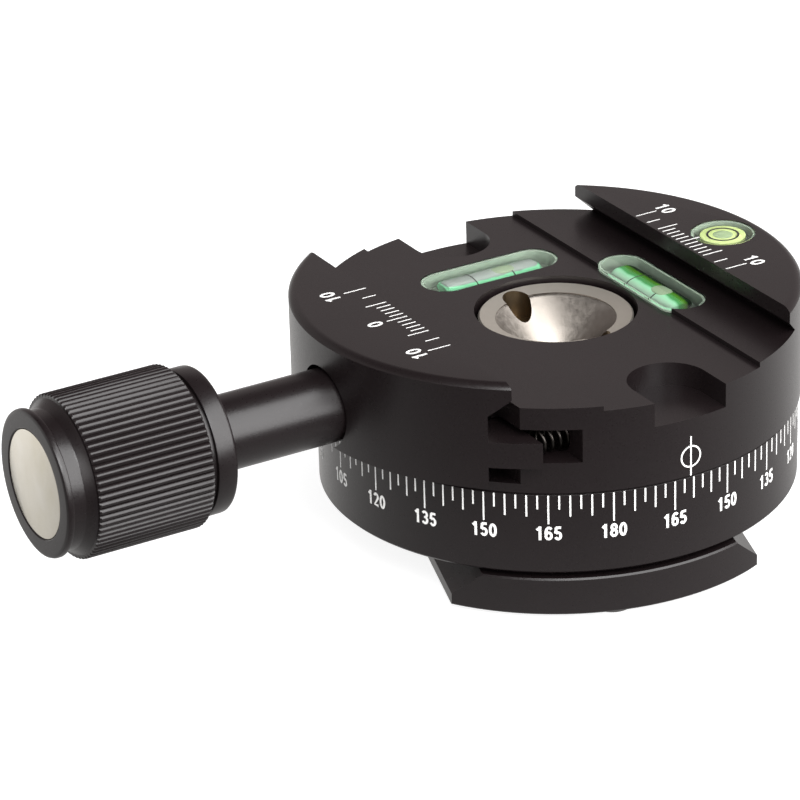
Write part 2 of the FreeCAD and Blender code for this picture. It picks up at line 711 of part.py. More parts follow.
save("dovetail_plate", dovetail_plate())
save("scale_drum", scale_drum())
save("plate_screws", plate_screws())
save("stop_screws", stop_screws())
save("thread_insert", on_base(thread_insert()))
save("hub_spindle", hub_spindle())
save("glide_ring", glide_ring())
save("lock_shoe", lock_shoe())
save("lock_screw", lock_screw())
save("lock_knob", lock_knob())
save("clamp_body", clamp_body())
save("thrust_washer", thrust_washer())
save("clamp_stud", clamp_stud())
save("guide_pins", guide_pins())
save("return_springs", return_springs())
save("cross_level", moved(tube_level(), CROSS_X, CROSS_Y, MIDDLE_Z - TUBE_SINK))
save("cross_level_liquid", moved(tube_liquid(), CROSS_X, CROSS_Y, MIDDLE_Z - TUBE_SINK))
save("along_level", moved(spun(tube_level(), 90), ALONG_X, ALONG_Y, FLOOR_Z - TUBE_SINK))
save("along_level_liquid", moved(spun(tube_liquid(), 90), ALONG_X, ALONG_Y, FLOOR_Z - TUBE_SINK))
save("round_level", round_level())
save("round_level_liquid", round_liquid())
save("level_backings", level_backings())
save("moving_jaw", moving_jaw())
save("jaw_washer", jaw_washer())
save("knob_sleeve", knob_sleeve())
save("knob_grip", knob_grip())
save("knob_end_disc", knob_end_disc())
save("knob_fixing_screw", knob_fixing_screw())
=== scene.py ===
import math
import bmesh
import bpy
from mathutils import Matrix, Vector


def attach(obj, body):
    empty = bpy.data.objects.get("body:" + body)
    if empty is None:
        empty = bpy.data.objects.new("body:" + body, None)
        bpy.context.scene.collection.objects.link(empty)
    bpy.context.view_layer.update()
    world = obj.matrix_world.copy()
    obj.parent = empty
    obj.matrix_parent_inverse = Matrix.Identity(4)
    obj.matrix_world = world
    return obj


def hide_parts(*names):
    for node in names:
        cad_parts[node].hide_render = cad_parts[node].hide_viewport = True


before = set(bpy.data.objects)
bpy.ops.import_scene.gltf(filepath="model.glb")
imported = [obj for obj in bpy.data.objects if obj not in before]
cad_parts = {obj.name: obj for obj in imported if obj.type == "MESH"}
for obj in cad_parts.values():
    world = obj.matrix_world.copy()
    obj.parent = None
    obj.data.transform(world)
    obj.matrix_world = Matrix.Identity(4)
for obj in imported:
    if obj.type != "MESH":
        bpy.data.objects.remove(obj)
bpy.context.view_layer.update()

# Camera at the photograph's angle, a long lens about half a metre away.
# Its aim is given in millimetres around the top of the jaws, 31 mm above the plate's underside.
turn_angle, lift_angle, roll_angle = (math.radians(a) for a in (-29.664, 25.194, -1.664))
camera_far = 531.281
aim_left = 18.970
aim_down = 15.165
focal_px = 4352.993
picture_px = 800
film_mm = 36
back = Vector((math.sin(turn_angle) * math.cos(lift_angle), -math.cos(turn_angle) * math.cos(lift_angle),
               math.sin(lift_angle)))
level_right = Vector((math.cos(turn_angle), math.sin(turn_angle), 0))
level_up = back.cross(level_right)
right = level_right * math.cos(roll_angle) + level_up * math.sin(roll_angle)
up = level_up * math.cos(roll_angle) - level_right * math.sin(roll_angle)
spot = back * camera_far - right * aim_left - up * aim_down + Vector((0, 0, 31.0))
camera_data = bpy.data.cameras.new("camera")
camera_data.sensor_width = film_mm
camera_data.lens = focal_px / picture_px * film_mm
camera_data.clip_start = 0.01
camera = bpy.data.objects.new("camera", camera_data)
camera.matrix_world = Matrix.Translation(spot * 0.001) @ Matrix((right, up, back)).transposed().to_4x4()
bpy.context.collection.objects.link(camera)
bpy.context.scene.camera = camera
bpy.context.scene.view_settings.view_transform = "Standard"


def linear(code):
    # Turns an sRGB hex colour to the linear values that the shaders take.
    parts = [int(code[i:i + 2], 16) / 255 for i in (1, 3, 5)]
    return [p / 12.92 if p <= 0.04045 else ((p + 0.055) / 1.055) ** 2.4 for p in parts] + [1.0]


def add(tree, kind, settings=(), links=()):
    # Adds one shader node, sets its sockets or properties, and links what feeds it.
    node = tree.nodes.new(kind)
    for key, value in dict(settings).items():
        if isinstance(key, int) or key in node.inputs:
            node.inputs[key].default_value = value
        else:
            setattr(node, key, value)
    for key, source in dict(links).items():
        tree.links.new(source, node.inputs[key])
    return node


def blank(name):
    # A new material with an empty tree and its output node.
    material = bpy.data.materials.new(name)
    material.use_nodes = True
    material.node_tree.nodes.clear()
    return material, material.node_tree, material.node_tree.nodes.new("ShaderNodeOutputMaterial")


# Studio: a pale paper floor, a large key box to the front right, two fills to the left and an even surround.
# The paper shows white to the camera and keeps a faint shadow.
# In reflections it fades to grey toward the camera.
floor_low = -0.00081
paper, tree, out = blank("white_paper")
path = add(tree, "ShaderNodeLightPath")
grain = add(tree, "ShaderNodeTexNoise", {"Scale": 900.0})
sheet = add(tree, "ShaderNodeBump", {"Strength": 0.05, "Distance": 0.0001}, {"Height": grain.outputs["Fac"]})
matt = add(tree, "ShaderNodeBsdfDiffuse", {"Color": linear("#b4b4b4")}, {"Normal": sheet.outputs["Normal"]})
lit = add(tree, "ShaderNodeEmission", {"Color": linear("#ffffff"), "Strength": 0.85})
both = add(tree, "ShaderNodeAddShader", (), {0: matt.outputs[0], 1: lit.outputs[0]})
place = add(tree, "ShaderNodeNewGeometry")
nearer = add(tree, "ShaderNodeVectorMath", {"operation": "DOT_PRODUCT", 1: (-0.495, -0.869, 0.0)},
             {0: place.outputs["Position"]})
fade = add(tree, "ShaderNodeMapRange", {"From Min": -0.02, "From Max": 0.085, "To Min": 0.98, "To Max": 0.08},
           {"Value": nearer.outputs["Value"]})
glow = add(tree, "ShaderNodeEmission", {"Color": linear("#fffdfb")}, {"Strength": fade.outputs[0]})
mirrored = add(tree, "ShaderNodeMixShader", (),
               {0: path.outputs["Is Glossy Ray"], 1: matt.outputs[0], 2: glow.outputs[0]})
floor_mix = add(tree, "ShaderNodeMixShader", (),
                {0: path.outputs["Is Camera Ray"], 1: mirrored.outputs[0], 2: both.outputs[0]})
tree.links.new(floor_mix.outputs[0], out.inputs["Surface"])
bm = bmesh.new()
bmesh.ops.create_grid(bm, x_segments=8, y_segments=8, size=4.0)
bmesh.ops.translate(bm, verts=bm.verts, vec=(0, 0, floor_low))
mesh = bpy.data.meshes.new("floor")
bm.to_mesh(mesh)
bm.free()
mesh.materials.append(paper)
floor = bpy.data.objects.new("floor", mesh)
bpy.context.collection.objects.link(floor)

# Surround of the studio: even and white to the camera, and darker overhead where metal mirrors it.
# Its faint warmth gives the black anodised tops their brownish grey.
world = bpy.data.worlds.new("studio")
bpy.context.scene.world = world
world.use_nodes = True
tree = world.node_tree
tree.nodes.clear()
path = add(tree, "ShaderNodeLightPath")
room = add(tree, "ShaderNodeBackground", {"Color": linear("#ffffff"), "Strength": 0.38})
where = add(tree, "ShaderNodeTexCoord")
parts = add(tree, "ShaderNodeSeparateXYZ", (), {0: where.outputs["Generated"]})
fade = add(tree, "ShaderNodeMapRange", {"From Min": 0.52, "From Max": 0.74, "To Min": 0.42, "To Max": 0.05},
           {"Value": parts.outputs["Z"]})
warm = add(tree, "ShaderNodeBackground", {"Color": linear("#fff3f1")}, {"Strength": fade.outputs[0]})
wall = add(tree, "ShaderNodeBackground", {"Color": linear("#ffffff"), "Strength": 1.0})
shine = add(tree, "ShaderNodeMixShader", (),
            {0: path.outputs["Is Glossy Ray"], 1: room.outputs[0], 2: warm.outputs[0]})
mix = add(tree, "ShaderNodeMixShader", (),
          {0: path.outputs["Is Camera Ray"], 1: shine.outputs[0], 2: wall.outputs[0]})
out = add(tree, "ShaderNodeOutputWorld", (), {"Surface": mix.outputs[0]})

for name, place, size, power in (("key_box", (0.22, -0.62, 0.52), 1.10, 20.0),
                                 ("high_box", (-0.30, -0.52, 0.62), 0.36, 2.6),
                                 ("fill_box", (-0.62, -0.50, 0.34), 0.45, 1.2)):
    lamp = bpy.data.lights.new(name, "AREA")
    lamp.size = size
    lamp.energy = power
    box = bpy.data.objects.new(name, lamp)
    box.location = place
    box.rotation_euler = (Vector((0, 0, 0.015)) - Vector(place)).to_track_quat("-Z", "Y").to_euler()
    bpy.context.collection.objects.link(box)


# Graduated drum: a turned aluminium ring on a round foot, bead-blasted and anodised black.
# Its foot stands on the dovetail plate, and the clamp's spigot turns in its well.
drum_r = 29.7
drum_low = 5.45
drum_top = 16.1
foot_r = 26.8
plate_high = 4.8
well_r = 20.3
drum_rim = 0.3
well_low = 9.0
boss_r = 12.2
boss_top = 14.0
shank_room = 8.04
insert_room = 6.64
insert_top = 7.7
lock_angle = math.radians(63.3)
lock_z = 10.775
lock_flat_r = 4.8
lock_screw_room = 2.04
lock_shoe_room = 2.24
lock_shoe_end = 23.34


def turn_profile(profile, steps=256, axis="Z"):
    # Turns (radius, height) pairs in millimetres about Z, or about X with heights along X.
    bm = bmesh.new()
    closed = profile[0][0] > 0 and profile[-1][0] > 0
    verts = [bm.verts.new((r, 0, z)) for r, z in profile]
    pairs = list(zip(verts, verts[1:])) + ([(verts[-1], verts[0])] if closed else [])
    edges = [bm.edges.new(pair) for pair in pairs]
    bmesh.ops.spin(bm, geom=verts + edges, cent=(0, 0, 0), axis=(0, 0, 1), dvec=(0, 0, 0),
                   angle=2 * math.pi, steps=steps, use_merge=True, use_duplicate=False)
    bmesh.ops.remove_doubles(bm, verts=bm.verts, dist=0.0005)
    if axis == "X":
        bmesh.ops.rotate(bm, verts=bm.verts, cent=(0, 0, 0), matrix=Matrix.Rotation(math.pi / 2, 3, "Y"))
    bmesh.ops.recalc_face_normals(bm, faces=bm.faces)
    return bm


def rod(r, start, end, centre, axis="Z", steps=96):
    # A plain round bar between two heights, or along X between two places.
    bm = turn_profile([(0, start), (r, start), (r, end), (0, end)], steps, axis)
    bmesh.ops.translate(bm, verts=bm.verts, vec=centre)
    return bm


def bar(outline, depth, lift=0.0):
    # Pushes a flat outline of (x, y) pairs up along Z.
    bm = bmesh.new()
    face = bm.faces.new([bm.verts.new((x, y, lift)) for x, y in outline])
    pushed = bmesh.ops.extrude_face_region(bm, geom=[face])["geom"]
    bmesh.ops.translate(bm, verts=[g for g in pushed if isinstance(g, bmesh.types.BMVert)], vec=(0, 0, depth))
    bmesh.ops.recalc_face_normals(bm, faces=bm.faces)
    return bm


def carve(blank_form, tools, operation="DIFFERENCE"):
    # Cuts the tools out of a form, or joins or intersects them, and returns the new form.
    objects = []
    for bm in [blank_form] + tools:
        data = bpy.data.meshes.new("form")
        bm.to_mesh(data)
        bm.free()
        objects.append(bpy.data.objects.new("form", data))
        bpy.context.collection.objects.link(objects[-1])
    for tool in objects[1:]:
        step = objects[0].modifiers.new("step", "BOOLEAN")
        step.object = tool
        step.operation = operation
        step.solver = "EXACT"
    graph = bpy.context.evaluated_depsgraph_get()
    bm = bmesh.new()
    bm.from_mesh(objects[0].evaluated_get(graph).to_mesh())
    for form in objects:
        data = form.data
        bpy.data.objects.remove(form)
        bpy.data.meshes.remove(data)
    bmesh.ops.remove_doubles(bm, verts=bm.verts, dist=0.002)
    bmesh.ops.dissolve_degenerate(bm, edges=bm.edges, dist=0.002)
    return bm


def piece(name, bm, material, body, nodes=(), edge=0.0, sharp=30.0):
    # Makes a finished piece of a form in millimetres, with softly broken edges.
    bmesh.ops.scale(bm, verts=bm.verts, vec=(0.001, 0.001, 0.001))
    data = bpy.data.meshes.new(name)
    bm.to_mesh(data)
    bm.free()
    data.materials.append(material)
    data.polygons.foreach_set("use_smooth", [True] * len(data.polygons))
    data.set_sharp_from_angle(angle=math.radians(sharp))
    made = bpy.data.objects.new(name, data)
    bpy.context.collection.objects.link(made)
    if edge:
        broken = made.modifiers.new("broken_edges", "BEVEL")
        broken.width = edge * 0.001
        broken.segments = 2
        broken.limit_method = "ANGLE"
        broken.angle_limit = math.radians(38)
        broken.harden_normals = True
    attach(made, body)
    if nodes:
        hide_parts(*nodes)
    return made


# Black anodised aluminium, bead-blasted before it is dyed: a satin black that picks up
# soft grey highlights, with a very fine grain of about a quarter of a millimetre.
anodised, tree, out = blank("black_anodised_aluminium")
where = add(tree, "ShaderNodeTexCoord")
blast = add(tree, "ShaderNodeTexNoise", {"Scale": 4200.0, "Detail": 3.0}, {"Vector": where.outputs["Object"]})
cloud = add(tree, "ShaderNodeTexNoise", {"Scale": 70.0, "Detail": 4.0}, {"Vector": where.outputs["Object"]})
tint = add(tree, "ShaderNodeMix", {"data_type": "RGBA", 6: linear("#120d0e"), 7: linear("#181213")},
           {0: cloud.outputs["Fac"]})
rough = add(tree, "ShaderNodeMapRange", {"From Min": 0.3, "From Max": 0.7, "To Min": 0.27, "To Max": 0.35},
            {"Value": blast.outputs["Fac"]})
bump = add(tree, "ShaderNodeBump", {"Strength": 0.10, "Distance": 0.00003}, {"Height": blast.outputs["Fac"]})
skin = add(tree, "ShaderNodeBsdfPrincipled", {"Metallic": 0.0, "IOR": 1.5, "Specular IOR Level": 0.5},
           {"Base Color": tint.outputs[2], "Roughness": rough.outputs[0], "Normal": bump.outputs["Normal"]})
tree.links.new(skin.outputs[0], out.inputs["Surface"])

drum = turn_profile([(shank_room, insert_top), (shank_room, boss_top), (boss_r, boss_top), (boss_r, well_low),
                     (well_r, well_low), (well_r, drum_top), (drum_r - drum_rim, drum_top),
                     (drum_r, drum_top - drum_rim), (drum_r, drum_low + drum_rim),
                     (drum_r - drum_rim, drum_low), (foot_r, drum_low), (foot_r, plate_high),
                     (insert_room, plate_high), (insert_room, insert_top)], 360)
lock_place = Matrix.Translation((0, 0, lock_z)) @ Matrix.Rotation(lock_angle, 4, "Z")
tools = []
for r, start, end in ((lock_flat_r, drum_r - 0.4, drum_r + 3), (lock_screw_room, 22.0, drum_r + 1),
                      (lock_shoe_room, 19.0, lock_shoe_end)):
    tool = rod(r, start, end, (0, 0, 0), "X")
    bmesh.ops.transform(tool, verts=tool.verts, matrix=lock_place)
    tools.append(tool)
piece("drum", carve(drum, tools), anodised, "base", ["scale_drum"], 0.08)


# Scale of the drum: lines every 2.5 degrees, laser-marked pale grey, with figures every 15 degrees.
# The figures run from 0 to 180 both ways, and the lower half is turned as the photograph shows it.
scale_turn = math.radians(-19.2)
mark_wide = 0.2
mark_top = 15.8
figure_top = 11.75
# Laser marking: the light burns the dye out and leaves matt pale grey, speckled about 0.2 mm fine.
marking, tree, out = blank("laser_marking")
where = add(tree, "ShaderNodeTexCoord")
speck = add(tree, "ShaderNodeTexNoise", {"Scale": 5000.0, "Detail": 2.0}, {"Vector": where.outputs["Object"]})
tint = add(tree, "ShaderNodeMix", {"data_type": "RGBA", 6: linear("#dedddb"), 7: linear("#f7f6f4")},
           {0: speck.outputs["Fac"]})
skin = add(tree, "ShaderNodeBsdfPrincipled", {"Roughness": 0.6}, {"Base Color": tint.outputs[2]})
tree.links.new(skin.outputs[0], out.inputs["Surface"])


def line_mark(bm, width, length, place):
    # One engraved line as a thin plate, from its place's origin down along its -Y.
    bits = bmesh.ops.create_cube(bm, size=1.0)["verts"]
    shape = Matrix.Translation((0, -length / 2, 0)) @ Matrix.Diagonal((width, length, 0.03, 1))
    bmesh.ops.transform(bm, verts=bits, matrix=place @ shape)


def bow(x, y, rx, ry, start, end):
    # Points of an arc between two angles in degrees.
    steps = max(3, round(abs(end - start) / 22))
    turns = [math.radians(start + (end - start) * k / steps) for k in range(steps + 1)]
    return [(x + rx * math.cos(a), y + ry * math.sin(a)) for a in turns]


# Strokes of the plain sans figures, in a box 0.56 wide and 1 high.
strokes = {
    "0": [bow(0.28, 0.5, 0.195, 0.415, 90, 450)],
    "1": [[(0.33, 0.0), (0.33, 1.0)], [(0.31, 0.90), (0.11, 0.72)]],
    "2": [bow(0.28, 0.70, 0.19, 0.215, 165, -30) + [(0.10, 0.085), (0.51, 0.085)]],
    "3": [bow(0.27, 0.72, 0.175, 0.195, 155, -90) + bow(0.27, 0.31, 0.195, 0.225, 90, -155)],
    "4": [[(0.41, 0.0), (0.41, 1.0)], [(0.39, 0.93), (0.07, 0.32)], [(0.04, 0.30), (0.55, 0.30)]],
    "5": [[(0.50, 0.915), (0.14, 0.915)], [(0.16, 0.93), (0.11, 0.50)],
          bow(0.28, 0.325, 0.19, 0.24, 140, -155)],
    "6": [bow(0.28, 0.32, 0.195, 0.235, 90, 450), bow(0.31, 0.52, 0.225, 0.395, 190, 45)],
    "7": [[(0.05, 0.915), (0.53, 0.915)], [(0.49, 0.90), (0.30, 0.45), (0.22, 0.0)]],
    "8": [bow(0.28, 0.725, 0.165, 0.19, 90, 450), bow(0.28, 0.30, 0.195, 0.215, 90, 450)],
    "9": [bow(0.28, 0.68, 0.195, 0.235, 90, 450), bow(0.25, 0.48, 0.225, 0.395, 10, -135)],
}


def figures(bm, word, height, squeeze, weight, place, wrap_r=0.0):
    # A number in plain sans figures, its top edge's middle at the place's origin, wrapped on a drum if asked.
    curve = bpy.data.curves.new("figures", "CURVE")
    curve.dimensions = "3D"
    curve.bevel_depth = weight / 2
    curve.bevel_resolution = 1
    curve.use_fill_caps = True
    step = 0.66
    wide = step * (len(word) - 1) + 0.56
    for k, figure in enumerate(word):
        for points in strokes[figure]:
            line = curve.splines.new("POLY")
            ring = math.dist(points[0], points[-1]) < 0.01
            points = points[:-1] if ring else points
            line.use_cyclic_u = ring
            line.points.add(len(points) - 1)
            for spot, (x, y) in zip(line.points, points):
                spot.co = ((x + k * step - wide / 2) * height * squeeze, (y - 1) * height, 0, 1)
    holder = bpy.data.objects.new("figures", curve)
    bpy.context.collection.objects.link(holder)
    graph = bpy.context.evaluated_depsgraph_get()
    data = bpy.data.meshes.new_from_object(holder.evaluated_get(graph))
    bpy.data.objects.remove(holder)
    start = len(bm.verts)
    bm.from_mesh(data)
    bm.verts.ensure_lookup_table()
    fresh = bm.verts[start:]
    for v in fresh:
        x, y, z = v.co.x, v.co.y, v.co.z * 0.02 / weight
        if wrap_r:
            turn = x / wrap_r
            v.co = Vector(((wrap_r + z) * math.sin(turn), y, (wrap_r + z) * math.cos(turn) - wrap_r))
        else:
            v.co = Vector((x, y, z))
    bmesh.ops.transform(bm, verts=fresh, matrix=place)
    bpy.data.meshes.remove(data)


def on_wall(angle, r, height):
    # The place on a round wall at that angle: X along the wall, Y up and Z outward.
    out_dir = Vector((math.cos(angle), math.sin(angle), 0))
    along = Vector((-math.sin(angle), math.cos(angle), 0))
    frame_axes = Matrix((along, Vector((0, 0, 1)), out_dir)).transposed().to_4x4()
    return Matrix.Translation(out_dir * r + Vector((0, 0, height))) @ frame_axes


bm = bmesh.new()
for k in range(144):
    degrees = k * 2.5
    long_mark = k % 6 == 0
    length = 3.72 if long_mark else 2.77 if k % 2 == 0 else 1.80
    angle = scale_turn - math.pi / 2 + math.radians(degrees)
    line_mark(bm, mark_wide, length, on_wall(angle, drum_r, mark_top))
    if long_mark:
        number = 180 - degrees if degrees <= 180 else degrees - 180
        figures(bm, str(round(number)), 1.80, 0.93, 0.33, on_wall(angle, drum_r + 0.01, figure_top), drum_r)
piece("drum_scale", bm, marking, "base")


# Lower dovetail plate, 38 mm wide with 45 degree sides and round ends, milled and anodised black.
# Four countersunk screws hold it to the drum, and the threaded insert sits in its middle.
base_turn = math.radians(-17.9)
half = 19.0
plate_end = 29.8
plate_bevel = 3.3
plate_side_high = 1.5
plate_rim = 0.2
plate_cut = 64.0
insert_flange_r = 8.24
insert_flange_deep = 1.44
screw_circle = 15
screw_head_r = 2.84
screw_room = 1.54
stop_screw_out = 26.0


def stand_up(bm):
    # Turns a shape pushed up along Z so that it lies along Y.
    bmesh.ops.rotate(bm, verts=bm.verts, cent=(0, 0, 0), matrix=Matrix.Rotation(math.pi / 2, 3, "X"))


plate_side = bar([(-half, 0), (half, 0), (half, plate_side_high), (half - plate_bevel, plate_high),
                  (-half + plate_bevel, plate_high), (-half, plate_side_high)], plate_cut, -plate_cut / 2)
stand_up(plate_side)
plate_round = turn_profile([(0, 0), (plate_end - plate_rim, 0), (plate_end, plate_rim),
                            (plate_end, plate_high - plate_rim), (plate_end - plate_rim, plate_high),
                            (0, plate_high)], 360)
plate = carve(plate_side, [plate_round], "INTERSECT")
tools = [rod(insert_room, -1, 5, (0, 0, 0)), rod(insert_flange_r, -1, insert_flange_deep, (0, 0, 0))]
for k in range(4):
    a = math.radians(45 + 90 * k)
    place = (screw_circle * math.cos(a), screw_circle * math.sin(a), 0)
    sink = turn_profile([(0, -1), (screw_head_r, -1), (screw_head_r, 0.24), (screw_room, 1.54),
                         (screw_room, 5), (0, 5)], 64)
    bmesh.ops.translate(sink, verts=sink.verts, vec=place)
    tools.append(sink)
for side in (-1, 1):
    tools.append(rod(screw_room, -1, 3.9, (0, side * stop_screw_out, 0)))
plate = carve(plate, tools)
bmesh.ops.rotate(plate, verts=plate.verts, cent=(0, 0, 0), matrix=Matrix.Rotation(base_turn, 3, "Z"))
piece("base_plate", plate, anodised, "base", ["dovetail_plate"], 0.12)


# Turned stainless steel of the hub: tool rings about 0.12 mm apart run round the axis, so light fans out in
# radial sectors. Dull specks of about two thirds of a millimetre break it up, under a faint warm cast.
hub_steel, tree, out = blank("turned_stainless_steel")
where = add(tree, "ShaderNodeTexCoord")
rings = add(tree, "ShaderNodeTexWave",
            {"wave_type": "RINGS", "rings_direction": "Z", "Scale": 2600.0, "Distortion": 0.6, "Detail": 2.0},
            {"Vector": where.outputs["Object"]})
speck = add(tree, "ShaderNodeTexNoise", {"Scale": 1500.0, "Detail": 4.0}, {"Vector": where.outputs["Object"]})
tint = add(tree, "ShaderNodeMix", {"data_type": "RGBA", 6: linear("#87817a"), 7: linear("#97918a")},
           {0: speck.outputs["Fac"]})
rough = add(tree, "ShaderNodeMapRange", {"From Min": 0.35, "From Max": 0.7, "To Min": 0.30, "To Max": 0.38},
            {"Value": speck.outputs["Fac"]})
bump = add(tree, "ShaderNodeBump", {"Strength": 0.12, "Distance": 0.00001}, {"Height": rings.outputs["Fac"]})
around = add(tree, "ShaderNodeTangent", {"direction_type": "RADIAL", "axis": "Z"})
skin = add(tree, "ShaderNodeBsdfPrincipled", {"Metallic": 1.0, "Anisotropic": 0.9},
           {"Base Color": tint.outputs[2], "Roughness": rough.outputs[0], "Normal": bump.outputs["Normal"],
            "Tangent": around.outputs[0]})
tree.links.new(skin.outputs[0], out.inputs["Surface"])


def plain_metal(name, low, high, roughness, scale):
    # Turned, drawn or plated metal, softly mirrored, with smears of one to two millimetres in its tint.
    material, tree, out = blank(name)
    where = add(tree, "ShaderNodeTexCoord")
    smear = add(tree, "ShaderNodeTexNoise", {"Scale": scale, "Detail": 4.0},
                {"Vector": where.outputs["Object"]})
    tint = add(tree, "ShaderNodeMix", {"data_type": "RGBA", 6: linear(low), 7: linear(high)},
               {0: smear.outputs["Fac"]})
    skin = add(tree, "ShaderNodeBsdfPrincipled", {"Metallic": 1.0, "Roughness": roughness},
               {"Base Color": tint.outputs[2]})
    tree.links.new(skin.outputs[0], out.inputs["Surface"])
    return material


hub_face = plain_metal("faced_stainless_steel", "#dad5ca", "#e4dfd5", 0.5, 900.0)
# Notch steel: rougher, and its dark brown tint is painted shade in the spanner notches.
notch_steel_painted_shade = plain_metal("milled_steel_painted_shade", "#5a4c3a", "#85755e", 0.42, 700.0)

# Hub: a stainless spindle with a dished head, a cone to the 6 mm bore and two round spanner notches.
# Its shank is pressed in the drum's boss, and its head holds the clamp down.
# The outer ring of the head is faced matt, and the notches are milled rougher, with shade painted into their
# dark brown tint.
hub_top = 25.95
hub_bore = 3.0
shank_r = 8.0
shank_top = 21.5
head_r = 9.55
cone_r = 7.1
dish_r = 7.45
dish_low = 25.35
notch_r = 1.8
notch_out = 7.3
hub = turn_profile([(hub_bore, insert_top), (shank_r - 0.5, insert_top), (shank_r, insert_top + 0.5),
                    (shank_r, shank_top), (head_r, shank_top), (head_r, hub_top - 0.2),
                    (head_r - 0.2, hub_top), (dish_r, 25.5), (dish_r, dish_low), (cone_r, dish_low - 0.2),
                    (hub_bore, 19.53)], 256)
notches = [Vector((notch_out * math.cos(a), notch_out * math.sin(a), 0))
           for a in (math.radians(-81.0), math.radians(99.0))]
hub = carve(hub, [rod(notch_r, hub_top - 3.5, hub_top + 1, notch) for notch in notches])
made = piece("hub", hub, hub_steel, "base", ["hub_spindle"], 0.06)
made.data.materials.append(hub_face)
made.data.materials.append(notch_steel_painted_shade)
# Faces in the notches get the steel with painted shade, and the outer ring the matt faced steel.
for face in made.data.polygons:
    spot = face.center * 1000
    in_notch = any(math.hypot(spot.x - notch.x, spot.y - notch.y) < notch_r + 0.01 for notch in notches)
    in_ring = spot.z > 25.45 and spot.xy.length > 7.4
    face.material_index = 2 if in_notch else 1 if in_ring else 0


# Clamp body: milled from one round of aluminium, with the flange, the fixed jaw and the plate channel.
# It turns on the drum by its spigot. The stop pockets, ear slots and level pockets are milled last.
body_r = 30.0
top_z = 31.0
floor_z = 27.25
middle_z = 26.65
body_low = 16.25
seat_z = 17.4
screw_z = 22.05
wall_x = 20.25
nose_x = 18.05
nose_low = 29.05
left_x = -19.4
spigot_r = 20.0
spigot_low = 9.5
overlap = 0.5
outside = 34
long_cut = 70.0
edge_r = 1.3
edge_end = math.cos(math.radians(30))
edge_turns = [math.radians(30 + 7.5 * i) for i in range(9)]
# The upper edge is a round of 1.3 mm that meets the wall at 30 degrees, listed from the wall up.
round_edge = [(body_r + edge_r * (math.cos(a) - edge_end), top_z + edge_r * (math.sin(a) - 1))
              for a in edge_turns]
round_slab = turn_profile([(0, seat_z - overlap), (body_r, seat_z - overlap)] + round_edge
                          + [(0, top_z)], 360)
side_shape = bar([(left_x, seat_z - overlap), (32, seat_z - overlap), (32, top_z), (nose_x, top_z),
                  (nose_x, nose_low), (nose_x + nose_low - floor_z, floor_z), (left_x, floor_z)],
                 long_cut, -long_cut / 2)
stand_up(side_shape)
upper = carve(side_shape, [round_slab], "INTERSECT")
lower = turn_profile([(shank_room, spigot_low), (spigot_r, spigot_low), (spigot_r, body_low),
                      (body_r, body_low), (body_r, seat_z), (shank_room, seat_z)], 360)
clamp = carve(upper, [lower], "UNION")


def box_tool(x0, x1, y0, y1, z0, z1):
    # A block between six planes.
    bm = bmesh.new()
    bmesh.ops.create_cube(bm, size=1.0)
    bmesh.ops.scale(bm, verts=bm.verts, vec=(x1 - x0, y1 - y0, z1 - z0))
    bmesh.ops.translate(bm, verts=bm.verts, vec=((x0 + x1) / 2, (y0 + y1) / 2, (z0 + z1) / 2))
    return bm


def long_round(length, width, z0, z1, centre, along_y=False):
    # A slot shape with round ends.
    reach = (length - width) / 2
    outline = []
    for side, start in ((1, -90), (-1, 90)):
        for k in range(33):
            a = math.radians(start + k * 180 / 32)
            outline.append((side * reach + width / 2 * math.cos(a), width / 2 * math.sin(a)))
    bm = bar(outline, z1 - z0, z0)
    if along_y:
        bmesh.ops.rotate(bm, verts=bm.verts, cent=(0, 0, 0), matrix=Matrix.Rotation(math.pi / 2, 3, "Z"))
    bmesh.ops.translate(bm, verts=bm.verts, vec=centre)
    return bm


cross_at = (-0.6, 14.6, 0)
along_at = (13.5, -0.7, 0)
round_at = (24.5, -0.2, 0)
middle_half = 11
above = 33
head_room = 10.05
head_seat = 21.0
boss_room = 12.5
boss_room_top = 14.3
level_room_long = 19.08
level_room_wide = 6.28
cross_pocket_low = 21.3
along_pocket_low = 21.9
round_pocket_r = 4.04
round_pocket_low = 26.6
pocket_r = 5
pocket_in = 25
pocket_low = 23.65
slot_end = -13.3
slot_in = 16.5
slot_low = 20.2
slot_high = 24.45
spring_room = 2.1
spring_hole_end = -11.3
spring_out = 22.0
spring_z = 22.0
tools = [box_tool(-middle_half, middle_half, -outside, outside, middle_z, above),
         rod(head_room, head_seat, above, (0, 0, 0), steps=256), rod(shank_room, 5, above, (0, 0, 0)),
         rod(boss_room, 5, boss_room_top, (0, 0, 0)),
         long_round(level_room_long, level_room_wide, cross_pocket_low, above, cross_at),
         long_round(level_room_long, level_room_wide, along_pocket_low, above, along_at, True),
         rod(round_pocket_r, round_pocket_low, above, round_at)]
for side in (-1, 1):
    turns = [math.radians(5 * k) for k in range(37)]
    u_shape = [(pocket_r * math.cos(a), side * (pocket_in - pocket_r * math.sin(a))) for a in turns]
    outline = [(pocket_r, side * outside)] + u_shape + [(-pocket_r, side * outside)]
    tools.append(bar(outline, above - pocket_low, pocket_low))
    near, far = sorted((side * slot_in, side * outside))
    tools.append(box_tool(-outside, slot_end, near, far, slot_low, slot_high))
    tools.append(rod(spring_room, -14, spring_hole_end, (0, side * spring_out, spring_z), "X", 64))
piece("clamp", carve(clamp, tools), anodised, "clamp", ["clamp_body"], 0.1)


